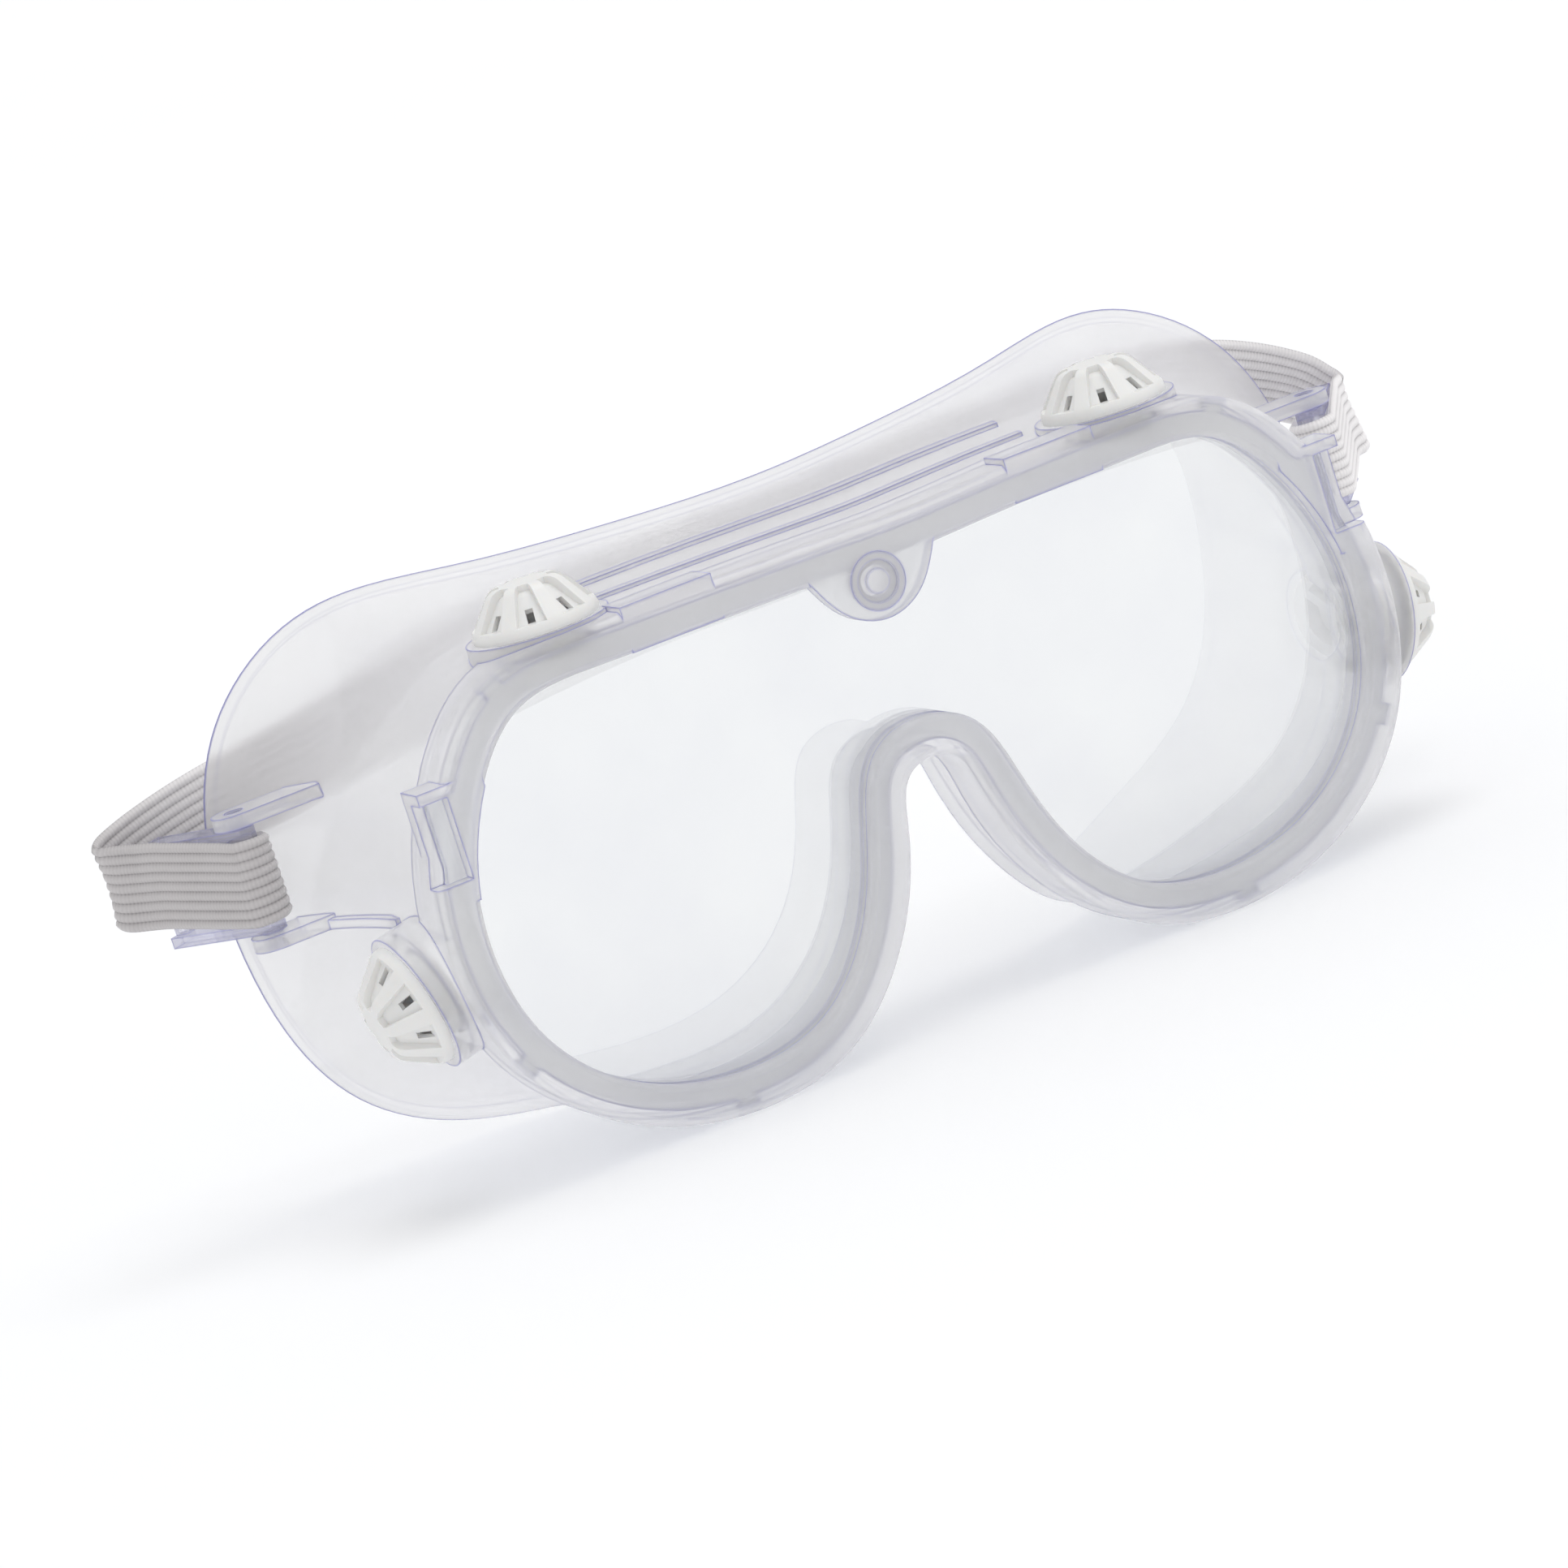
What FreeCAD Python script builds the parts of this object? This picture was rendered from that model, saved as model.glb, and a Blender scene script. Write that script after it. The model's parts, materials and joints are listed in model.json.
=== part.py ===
import FreeCAD, Part
import math
import os

from FreeCAD import Placement, Rotation, Vector

# Safety goggles, impact and splash type: a soft clear body that seals on the face, one flat clear
# lens, four capped vents, two swinging strap clips and a ribbed elastic strap stored in the hollow.
# Millimetres. The goggles stand upright: +X is to the right of someone who looks at the lens, +Y
# goes back to the face, +Z is up. The design frame has its origin at the middle of the lens; the
# parts are written with the origin on the surface they stand on, below the middle of their box.
os.makedirs("parts", exist_ok=True)

# ---- overall --------------------------------------------------------------------------------
STAND_HEIGHT = 35.87       # lens centre above the surface
MID_DEPTH = 26.10          # middle of the overall depth, behind the lens plane

# ---- lens and rim ---------------------------------------------------------------------------
LENS_THICK = 2.0
LENS_OVERLAP = 3.6         # how far the lens reaches into the rim, all round
GROOVE_GAP = 0.05
RIM_WIDTH = 5.8            # rim beyond the lens opening
RIM_FRONT = -3.5
RIM_ROUND = 1.4            # front edge of the rim, outside
LIP_ROUND = 0.9            # front edge of the rim, round the lens opening
RIM_BACK = 7.0
RIM_INSIDE_BACK = 4.5      # back of the ledge that the lens rests on
WALL = 1.9                 # side and top walls
WALL_STEP = 0.9            # the walls start this far inside the rim
SKIRT_END = 54.0           # the walls are drawn to here, then trimmed to the face

# half outline of the lens opening, from the top middle over the eye to the nose arch, and the
# share of the skirt's flare that the wall takes at each of its points
OPENING_HALF = [(0, 29.2, 1.4), (22, 29.7, 1.33), (42, 30.0, 1.15), (55, 28.4, 1.23),
                (63, 20.2, 1.65), (68.8, 0, 1.4), (64.8, -15.8, 1.1), (54, -26.1, 0.5),
                (40, -30.0, 0.13), (26.5, -27.6, 0.1), (17.2, -18.5, 0), (11.8, -5.3, 0), (7, 4.6, 0),
                (0, 6.9, 0)]

# how far the skirt flares beyond the rim, at each depth behind the lens
FLARE = [(6.0, 0.0), (15.0, 0.9), (26.0, 2.8), (36.0, 6.0), (45.0, 10.3), (SKIRT_END, 15.5)]

# raised beads along the top wall: depth behind the lens, on each side as far as BEAD_REACH
BEAD_DEPTHS = (13.0, 20.5)
BEAD_WIDTH = 1.3
BEAD_PROUD = 0.6
BEAD_REACH = 34.0

# face contour seen from above: depth of the skirt's edge at each distance from the middle
BROW_CONTOUR = [(0, 33.0), (26, 35.0), (48, 40.5), (64, 45.0), (78, 46.0), (112, 46.0)]
CHEEK_CONTOUR = [(0, 18.0), (12, 19.5), (26, 27.0), (42, 35.0), (64, 45.0), (78, 46.0), (112, 46.0)]
CONTOUR_SPLIT = 4.0        # height where the cheek contour gives way to the brow contour

# ---- lens catches ---------------------------------------------------------------------------
TAB_BOTTOM = 8.0
TAB_TOP = 21.0
TAB_REACH = 70.8           # end of the lens's side tabs
TAB_START = 60.0
HOUSING_WALL = 1.7
HOUSING_BACK = 2.8
HOUSING_LEDGE = 8.0        # a thin ledge under the housing reaches back to here
NOTCH_START = 68.4         # the rim is open in front of the tab from here outwards
NOTCH_BOTTOM = 9.4
LUG_PLACES = [(56.0, 31.0), (62.0, -23.5), (38.0, -33.5)]
LUG_WIDTH = 3.0
LUG_REACH = 1.2            # beyond the lens edge
PAD_PLACES = (-30.0, 30.0)
PAD_LENGTH = 14.0
PAD_PROUD = 0.9

# ---- brow tab and its stud ------------------------------------------------------------------
BROW_TAB = [(-10.5, 31.5), (-8.2, 27.0), (-5.4, 23.6), (0, 21.6), (5.4, 23.6), (8.2, 27.0),
            (10.5, 31.5)]
STUD_HEIGHT = 27.0
STUD_HEAD_R = 4.0
STUD_HEAD = 1.1            # the head lies in a counterbore, flush with the rim
STUD_SHANK_R = 2.2
STUD_CATCH_R = 3.0
STUD_DISH_R = 3.0          # ring-shaped dish in the head, round a flat button
STUD_BUTTON_R = 1.7
STUD_DISH = 0.5

# ---- vents ----------------------------------------------------------------------------------
TOP_VENT = (45.0, 8.0, 36.4)         # middle of the seat, right hand side
SIDE_VENT = (77.8, 9.4, -6.4)
SIDE_VENT_DROP = 12.0                # degrees that the side vents face downwards
SEAT_R = 10.2
SEAT_DEPTH = 3.2
VENT_HOLE_R = 6.3
BASE_R = 6.1
BASE_BORE_R = 4.9
BASE_FLANGE_R = 6.7
BASE_POST_R = 1.5
BAFFLE_R = 4.1
CAP_R = 9.0
CAP_SKIRT = 1.2            # upright edge of the cap
CAP_RISE = 6.4
CAP_WALL = 1.8
CAP_CROWN_R = 5.0
CAP_ROUND = 2.4
CAP_PETALS = 8
CAP_RECESS = 0.9           # depth of the hollow between each two petals
CAP_HOLLOW = [(3.4, 0.7), (9.5, 2.5)]        # radius and half width of a hollow at its two ends
CAP_SLOT = 1.1             # width of the air slot in each hollow
CAP_SLOT_TOP = 3.4         # height of its upper end

# ---- clips ----------------------------------------------------------------------------------
PIVOT = (87.0, 32.5, 13.2)           # right hand pivot
PIN_R = 1.3
PIN_GAP = 0.05
BARREL_R = 2.1
CLIP_LENGTH = 15.5                   # pivot to the far bar
CLIP_BAR = 2.2
CLIP_PLATE = 1.6
CLIP_INSIDE = 12.0                   # free height between the two end plates
EAR_THICK = 2.0
EAR_GAP = 0.3
BRACE_START = 13.0                   # a thin rib on the wall leads to the lower ear from here
BRACE_THICK = 1.4
BRACE_PROUD = 1.2
CLIP_SWING = 33.0                    # degrees that each clip stands out from straight back

# ---- strap ----------------------------------------------------------------------------------
STRAP_WIDTH = 12.7
STRAP_GRIPPED = 11.2       # width where the clip squeezes the strap
STRAP_RISE = 2.0           # the strap climbs this much along the clip
STRAP_THICK = 1.2
STRAP_OFF_CLIP = 3.0                 # the strap's middle line outside the clip's middle plane
# middle line of the strap from the left clip to the right one, and the degrees that the strap's
# upper edge leans to the right hand side of its way
STRAP_MAIN = [(-99.4, 45.8, 15.4, 0), (-101.7, 47.8, 15.9, 0), (-102.3, 49.8, 16.5, 0),
              (-99.8, 51.4, 17.3, 0), (-94.5, 51.8, 18.8, 0), (-87.5, 50.3, 20.7, 0),
              (-80.0, 46.8, 22.6, 0), (-73.0, 41.2, 24.5, 0), (-61.0, 36.8, 27.2, 0),
              (-46.0, 35.4, 29.8, 0), (-24.0, 33.0, 31.4, 0), (0.0, 31.8, 31.4, 0),
              (24.0, 33.0, 31.8, 0), (46.0, 36.0, 31.4, 0), (61.0, 39.6, 30.4, 0),
              (72.0, 44.2, 28.8, 4), (80.0, 48.6, 27.0, 14), (88.0, 51.0, 24.2, 28),
              (94.5, 51.6, 21.0, 35), (98.3, 50.7, 17.9, 32), (100.4, 49.0, 15.9, 22),
              (100.6, 47.0, 15.2, 10), (99.4, 45.4, 15.2, 0)]


def export(node, shape):
    """Move a finished part from the design frame to the standing frame and write it."""
    placed = shape.copy()
    placed.translate(Vector(0, -MID_DEPTH, STAND_HEIGHT))
    placed.exportStep("parts/" + node + ".step")
    box = placed.optimalBoundingBox(True, False)
    print("%-18s solids %d valid %s volume %9.1f  x %7.2f %7.2f  y %7.2f %7.2f  z %7.2f %7.2f" % (
        node, len(placed.Solids), placed.isValid(), placed.Volume,
        box.XMin, box.XMax, box.YMin, box.YMax, box.ZMin, box.ZMax))


def mirror(shape):
    """The same part for the other side."""
    return shape.mirror(Vector(0, 0, 0), Vector(1, 0, 0))


def box(low, high):
    """A block between two corners."""
    size = [b - a for a, b in zip(low, high)]
    return Part.makeBox(size[0], size[1], size[2], Vector(*low))


def tube(outer, inner, bottom, top):
    """A ring standing on the Z axis."""
    wall = Part.makeCylinder(outer, top - bottom, Vector(0, 0, bottom))
    return wall.cut(Part.makeCylinder(inner, top - bottom, Vector(0, 0, bottom)))


# ---- the outline of the opening, and everything that follows it ------------------------------
def full_outline():
    """Opening outline all the way round: points, outward directions and shares of the flare."""
    right = list(OPENING_HALF)
    left = [(-x, z, share) for x, z, share in reversed(OPENING_HALF[1:-1])]
    points = [Vector(x, 0, z) for x, z, share in right + left]
    shares = [share for x, z, share in right + left]
    curve = Part.BSplineCurve()
    curve.interpolate(Points=points, PeriodicFlag=True)
    normals = []
    for point in points:
        tangent = curve.tangent(curve.parameter(point))[0]
        normals.append(tangent.cross(Vector(0, 1, 0)).normalize())
    if normals[0].z < 0:
        normals = [-n for n in normals]
    return points, normals, shares


OUTLINE, OUTWARD, FLARE_SHARES = full_outline()


def ring_wire(depth, distances):
    """A closed smooth wire at one depth, each outline point moved outwards by its distance."""
    points = [p + n * d + Vector(0, depth, 0) for p, n, d in zip(OUTLINE, OUTWARD, distances)]
    curve = Part.BSplineCurve()
    curve.interpolate(Points=points, PeriodicFlag=True)
    return Part.Wire(curve.toShape())


def plate(offset, front, back):
    """A solid with the outline of the opening, grown by offset, between two depths."""
    face = Part.Face(ring_wire(front, [offset] * len(OUTLINE)))
    return face.extrude(Vector(0, back - front, 0))


def skirt_solid(inset):
    """The skirt as a full body: its outer surface, moved inwards by inset."""
    wires = []
    for depth, flare in FLARE:
        start = RIM_WIDTH - WALL_STEP - inset
        wires.append(ring_wire(depth, [start + flare * share for share in FLARE_SHARES]))
    return Part.makeLoft(wires, True, False)


def contour_cutter(contour, bottom, top):
    """Everything behind the face contour, between two heights."""
    right = [Vector(x, y, bottom) for x, y in contour]
    left = [Vector(-x, y, bottom) for x, y in reversed(contour[1:])]
    curve = Part.BSplineCurve()
    curve.interpolate(Points=left + right)
    reach, far = contour[-1][0], SKIRT_END + 30.0
    corners = [Vector(reach, contour[-1][1], bottom), Vector(reach, far, bottom),
               Vector(-reach, far, bottom), Vector(-reach, contour[-1][1], bottom)]
    edges = [curve.toShape()] + Part.makePolygon(corners).Edges
    return Part.Face(Part.Wire(Part.__sortEdges__(edges))).extrude(Vector(0, 0, top - bottom))


# ---- vents, drawn on the Z axis with the seat face at zero ----------------------------------
def vent_places():
    """Name, and placement from the vent's own frame to the design frame, of each vent."""
    places = {}
    for side, sign in (("left", -1), ("right", 1)):
        x, y, z = TOP_VENT
        places["top_" + side] = Placement(Vector(sign * x, y, z), Rotation(Vector(0, 0, 1), 0))
        x, y, z = SIDE_VENT
        turn = Rotation(Vector(0, 1, 0), sign * (90.0 + SIDE_VENT_DROP))
        places["side_" + side] = Placement(Vector(sign * x, y, z), turn)
    return places


def vent_base():
    """Ring that lines the hole, a flange inside the body, and a post on three spokes."""
    low = -SEAT_DEPTH - 0.9
    ring = tube(BASE_R, BASE_BORE_R, low, 0.8)
    flange = tube(BASE_FLANGE_R, BASE_BORE_R, low, low + 0.8)
    post = Part.makeCylinder(BASE_POST_R, CAP_RISE - CAP_WALL - low - 0.5, Vector(0, 0, low))
    shape = ring.fuse([flange, post])
    for turn in range(3):
        spoke = box((0, -0.6, low), (BASE_BORE_R + 0.3, 0.6, low + 1.2))
        spoke.rotate(Vector(0, 0, 0), Vector(0, 0, 1), 120.0 * turn)
        shape = shape.fuse(spoke)
    return shape.removeSplitter()


def vent_baffle():
    """Disc on the post that stops a straight splash."""
    return tube(BAFFLE_R, BASE_POST_R + 0.02, -2.4, -1.6)


def cap_dome(shrink):
    """Outer or inner form of the cap: an upright edge and a cone, rounded at the crown."""
    edge = Part.makeCylinder(CAP_R - shrink, CAP_SKIRT)
    cone = Part.makeCone(CAP_R - shrink, CAP_CROWN_R - shrink, CAP_RISE - shrink - CAP_SKIRT,
                         Vector(0, 0, CAP_SKIRT))
    dome = edge.fuse(cone).removeSplitter()
    rims = [e for e in dome.Edges if e.BoundBox.ZMin > CAP_SKIRT - 0.1 and e.Length > 2 * math.pi]
    rims = [e for e in rims if e.BoundBox.ZLength < 0.1]
    return dome.makeFillet(CAP_ROUND - shrink * 0.5, rims)


def vent_cap():
    """Domed cap with a socket for the post, and a hollow with a slot between each two petals."""
    shell = cap_dome(0.0).cut(cap_dome(CAP_WALL))
    socket = tube(BASE_POST_R + 1.4, BASE_POST_R, 1.6, CAP_RISE - CAP_WALL / 2)
    shell = shell.fuse(socket)
    low = CAP_SKIRT + 0.4
    (near, narrow), (far, wide) = CAP_HOLLOW
    corners = [Vector(near, -narrow, low), Vector(far, -wide, low), Vector(far, wide, low),
               Vector(near, narrow, low)]
    wedge = Part.Face(Part.makePolygon(corners + corners[:1])).extrude(Vector(0, 0, CAP_RISE))
    hollow = wedge.cut(cap_dome(CAP_RECESS))
    slot = box((CAP_CROWN_R + 0.4, -CAP_SLOT / 2, low), (CAP_R + 1, CAP_SLOT / 2, CAP_SLOT_TOP))
    for petal in range(CAP_PETALS):
        turned = hollow.fuse(slot)
        turned.rotate(Vector(0, 0, 0), Vector(0, 0, 1), 360.0 / CAP_PETALS * (petal + 0.5))
        shell = shell.cut(turned)
    return shell.removeSplitter()


# ---- clips: drawn at the pivot, reaching along +Y ---------------------------------------------
def clip():
    """Ladder clip: barrel with its two pins, a middle bar and a far bar, between two plates."""
    half = CLIP_INSIDE / 2
    shape = Part.makeCylinder(BARREL_R, 2 * half, Vector(0, 0, -half))
    for along in (CLIP_LENGTH / 2, CLIP_LENGTH):
        bar = box((-CLIP_BAR / 2, along - CLIP_BAR / 2, -half), (CLIP_BAR / 2, along + CLIP_BAR / 2, half))
        shape = shape.fuse(bar.makeFillet(0.5, [e for e in bar.Edges if e.Length > half]))
    for low in (-half - CLIP_PLATE, half):
        end = box((-BARREL_R, 0, low), (BARREL_R, CLIP_LENGTH + CLIP_BAR / 2, low + CLIP_PLATE))
        end = end.fuse(Part.makeCylinder(BARREL_R, CLIP_PLATE, Vector(0, 0, low)))
        shape = shape.fuse(end)
    reach = half + CLIP_PLATE + EAR_GAP + EAR_THICK - 0.2
    pins = Part.makeCylinder(PIN_R, 2 * reach, Vector(0, 0, -reach))
    return shape.fuse(pins).removeSplitter()


def clip_at(side, swing):
    """The clip on its pivot, swung out from straight back. side is -1 left, 1 right."""
    shape = clip()
    shape.rotate(Vector(0, 0, 0), Vector(0, 0, 1), -side * swing)
    shape.translate(Vector(side * PIVOT[0], PIVOT[1], PIVOT[2]))
    return shape


def ears():
    """The two ears of the right hand clip lug, without their pin holes."""
    half = CLIP_INSIDE / 2 + CLIP_PLATE + EAR_GAP
    shapes = []
    for low in (PIVOT[2] - half - EAR_THICK, PIVOT[2] + half):
        nose = Part.makeCylinder(BARREL_R + 1.2, EAR_THICK, Vector(PIVOT[0], PIVOT[1], low))
        root = box((PIVOT[0] - 12, PIVOT[1] - BARREL_R - 1.2, low),
                   (PIVOT[0], PIVOT[1] + BARREL_R + 1.2, low + EAR_THICK))
        shapes.append(nose.fuse(root))
    low = PIVOT[2] - half - EAR_THICK
    shapes.append(skirt_solid(-BRACE_PROUD).common(
        box((PIVOT[0] - 12, BRACE_START, low), (PIVOT[0] + 9, PIVOT[1], low + BRACE_THICK))))
    return shapes


# ---- strap ----------------------------------------------------------------------------------
def ribbon(points, leans, width):
    """A flat band of the strap's thickness along a list of points, its width upright or leaning.
    Each side of each run is two triangles, because a band that climbs as it turns isn't flat."""
    sections = []
    for i, point in enumerate(points):
        before, after = points[max(i - 1, 0)], points[min(i + 1, len(points) - 1)]
        along = Vector(after.x - before.x, after.y - before.y, 0).normalize()
        lean = Rotation(along, leans[i])
        across = lean.multVec(Vector(-along.y, along.x, 0) * (STRAP_THICK / 2))
        up = lean.multVec(Vector(0, 0, width / 2))
        sections.append([point + across + up, point - across + up,
                         point - across - up, point + across - up])
    triangles = []
    for this, following in zip(sections, sections[1:]):
        for k in range(4):
            m = (k + 1) % 4
            triangles.append((this[k], this[m], following[m]))
            triangles.append((this[k], following[m], following[k]))
    faces = [Part.Face(Part.makePolygon([p, q, r, p])) for p, q, r in triangles]
    faces += [Part.Face(Part.makePolygon(end + end[:1])) for end in (sections[0], sections[-1])]
    shell = Part.makeShell(faces)
    shell.sewShape()
    band = Part.makeSolid(shell)
    if band.Volume < 0:
        band.reverse()
    return band


def strap_end(side, swing):
    """The end of the strap: once round the clip's barrel and out along the clip's outer face."""
    turn = [(-STRAP_OFF_CLIP * math.cos(a), -STRAP_OFF_CLIP * math.sin(a))
            for a in [math.radians(30.0 * k) for k in range(7)]]
    path = [Vector(side * x, y, 0) for x, y in [(-STRAP_OFF_CLIP, 4.0)] + turn]
    path.append(Vector(side * STRAP_OFF_CLIP, 4.0, 0.3))
    path.append(Vector(side * STRAP_OFF_CLIP, CLIP_LENGTH, STRAP_RISE))
    shape = ribbon(path, [0] * len(path), STRAP_GRIPPED)
    shape.rotate(Vector(0, 0, 0), Vector(0, 0, 1), -side * swing)
    shape.translate(Vector(side * PIVOT[0], PIVOT[1], PIVOT[2]))
    return shape


# ---- body -----------------------------------------------------------------------------------
def lens_lugs(grow):
    """Small locating lugs round the lens edge, on both sides."""
    shapes = []
    for x, z in LUG_PLACES:
        for side in (-1, 1):
            place = Vector(side * x, 0, z)
            i = min(range(len(OUTLINE)), key=lambda k: OUTLINE[k].distanceToPoint(place))
            angle = math.degrees(math.atan2(OUTWARD[i].z, OUTWARD[i].x))
            lug = box((LENS_OVERLAP - 2, -LENS_THICK / 2 - grow, -LUG_WIDTH / 2 - grow),
                      (LENS_OVERLAP + LUG_REACH + grow, LENS_THICK / 2 + grow, LUG_WIDTH / 2 + grow))
            lug.rotate(Vector(0, 0, 0), Vector(0, -1, 0), angle)
            lug.translate(OUTLINE[i])
            shapes.append(lug)
    return shapes


def side_tabs(grow):
    """The lens's two side tabs."""
    tab = box((TAB_START, -LENS_THICK / 2 - grow, TAB_BOTTOM - grow),
              (TAB_REACH + grow, LENS_THICK / 2 + grow, TAB_TOP + grow))
    return [tab, mirror(tab)]


def lens_blank(grow):
    """The lens with its tabs and lugs, grown by a gap when it cuts the groove."""
    half = LENS_THICK / 2 + grow
    return plate(LENS_OVERLAP + grow, -half, half).fuse(side_tabs(grow) + lens_lugs(grow))


def brow_tab():
    """Rounded tab that hangs from the rim in front of the lens."""
    curve = Part.BSplineCurve()
    curve.interpolate(Points=[Vector(x, RIM_FRONT, z) for x, z in BROW_TAB])
    first, last = BROW_TAB[0], BROW_TAB[-1]
    close = Part.makeLine(Vector(last[0], RIM_FRONT, last[1]), Vector(first[0], RIM_FRONT, first[1]))
    face = Part.Face(Part.Wire([curve.toShape(), close]))
    return face.extrude(Vector(0, -RIM_FRONT - LENS_THICK / 2 - GROOVE_GAP, 0))


def front_edges(shape):
    """The edges that lie in the front plane of the rim."""
    return [e for e in shape.Edges if abs(e.BoundBox.YMax - RIM_FRONT) < 0.01]


def rim():
    """The ring round the lens, with both of its front edges rounded."""
    blank = plate(RIM_WIDTH, RIM_FRONT, RIM_BACK)
    blank = blank.makeFillet(RIM_ROUND, front_edges(blank))
    ring = blank.cut(plate(0.0, RIM_FRONT, RIM_BACK))
    lip = min(front_edges(ring), key=lambda e: e.Length)
    return ring.makeFillet(LIP_ROUND, [lip])


def face_frame():
    """The soft body: rim, walls, seats, lugs and housings, then the hollows, then the trims."""
    solid = skirt_solid(0.0).fuse(rim())
    extras = []
    for side in (-1, 1):
        housing = box((TAB_REACH - 8, RIM_FRONT, TAB_BOTTOM - HOUSING_WALL),
                      (TAB_REACH + HOUSING_WALL, HOUSING_BACK, TAB_TOP + HOUSING_WALL))
        ledge = box((TAB_REACH - 5, RIM_FRONT, TAB_BOTTOM - HOUSING_WALL),
                    (TAB_REACH + HOUSING_WALL, HOUSING_LEDGE, TAB_BOTTOM))
        housing = housing.fuse(ledge)
        extras.append(housing if side > 0 else mirror(housing))
        extras.extend(ear if side > 0 else mirror(ear) for ear in ears())
    for middle in PAD_PLACES:
        extras.append(box((middle - PAD_LENGTH / 2, RIM_FRONT, 30.0),
                          (middle + PAD_LENGTH / 2, 3.0, 29.8 + RIM_WIDTH + PAD_PROUD)))
    for depth in BEAD_DEPTHS:
        extras.append(skirt_solid(-BEAD_PROUD).common(
            box((-BEAD_REACH, depth, CONTOUR_SPLIT + 16), (BEAD_REACH, depth + BEAD_WIDTH, 100))))
    for place in vent_places().values():
        seat = Part.makeCylinder(SEAT_R, 12.0, Vector(0, 0, -12.0))
        seat.Placement = place
        extras.append(seat)
    solid = solid.fuse(extras)
    solid = solid.cut(skirt_solid(WALL).cut(box((-200, -10, -100), (200, RIM_INSIDE_BACK + 1.5, 100))))
    solid = solid.cut(plate(0.0, RIM_FRONT - 1, RIM_BACK))
    solid = solid.cut(contour_cutter(BROW_CONTOUR, CONTOUR_SPLIT, 100))
    solid = solid.cut(contour_cutter(CHEEK_CONTOUR, -100, CONTOUR_SPLIT))
    solid = solid.fuse(brow_tab()).cut(lens_blank(GROOVE_GAP))
    stud_axis = Vector(0, 1, 0)
    holes = [Part.makeCylinder(STUD_SHANK_R + 0.05, 20, Vector(0, -10, STUD_HEIGHT), stud_axis),
             Part.makeCylinder(STUD_HEAD_R + 0.05, STUD_HEAD, Vector(0, RIM_FRONT, STUD_HEIGHT), stud_axis)]
    for place in vent_places().values():
        hole = Part.makeCylinder(VENT_HOLE_R, 20, Vector(0, 0, -10))
        hole.Placement = place
        holes.append(hole)
        relief = Part.makeCylinder(BASE_FLANGE_R + GROOVE_GAP, 9, Vector(0, 0, -SEAT_DEPTH - 9))
        relief.Placement = place
        holes.append(relief)
    notch = box((NOTCH_START, RIM_FRONT - 1, NOTCH_BOTTOM), (TAB_REACH + 5, 0, TAB_TOP))
    holes.extend([notch, mirror(notch)])
    for side in (-1, 1):
        holes.append(Part.makeCylinder(PIN_R + PIN_GAP, 40, Vector(side * PIVOT[0], PIVOT[1], -4)))
    return solid.cut(holes).removeSplitter()


def lens():
    """The clear lens."""
    hole = Part.makeCylinder(STUD_SHANK_R + 0.05, 20, Vector(0, -10, STUD_HEIGHT), Vector(0, 1, 0))
    return lens_blank(0.0).cut(hole).removeSplitter()


def brow_stud():
    """Round stud through the brow tab and the lens, with a catch behind."""
    back = LENS_THICK / 2
    under = RIM_FRONT + STUD_HEAD
    profile = [(0, RIM_FRONT), (STUD_BUTTON_R, RIM_FRONT), (STUD_BUTTON_R, RIM_FRONT + STUD_DISH),
               (STUD_DISH_R, RIM_FRONT + STUD_DISH), (STUD_DISH_R, RIM_FRONT),
               (STUD_HEAD_R, RIM_FRONT), (STUD_HEAD_R, under), (STUD_SHANK_R, under),
               (STUD_SHANK_R, back),
               (STUD_CATCH_R, back), (STUD_SHANK_R - 0.4, back + 1.6), (0, back + 1.6)]
    points = [Vector(r, y, STUD_HEIGHT) for r, y in profile]
    face = Part.Face(Part.makePolygon(points + points[:1]))
    return face.revolve(Vector(0, 0, STUD_HEIGHT), Vector(0, 1, 0), 360)


# ---- write every part -------------------------------------------------------------------------
export("face_frame", face_frame())
export("lens", lens())
export("brow_stud", brow_stud())
for name, vent_place in vent_places().items():
    for kind, maker in (("vent_base", vent_base), ("vent_baffle", vent_baffle), ("vent_cap", vent_cap)):
        piece = maker()
        piece.Placement = vent_place
        export(kind + "_" + name, piece)
for name, hand in (("left", -1), ("right", 1)):
    export("clip_" + name, clip_at(hand, CLIP_SWING))
    export("strap_end_" + name, strap_end(hand, CLIP_SWING))
middle_line = [Vector(*point[:3]) for point in STRAP_MAIN]
export("strap_main", ribbon(middle_line, [point[3] for point in STRAP_MAIN], STRAP_WIDTH))
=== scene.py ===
"""Clear safety goggles on a pale floor.

A soft vinyl body, a flat lens, white vents, clear clips and a ribbed elastic strap. The body, lens,
stud, clips and vents are the frame's own solids; the strap is made here.
"""
import json
import math

import bmesh
import bpy
from mathutils import Matrix, Vector


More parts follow.
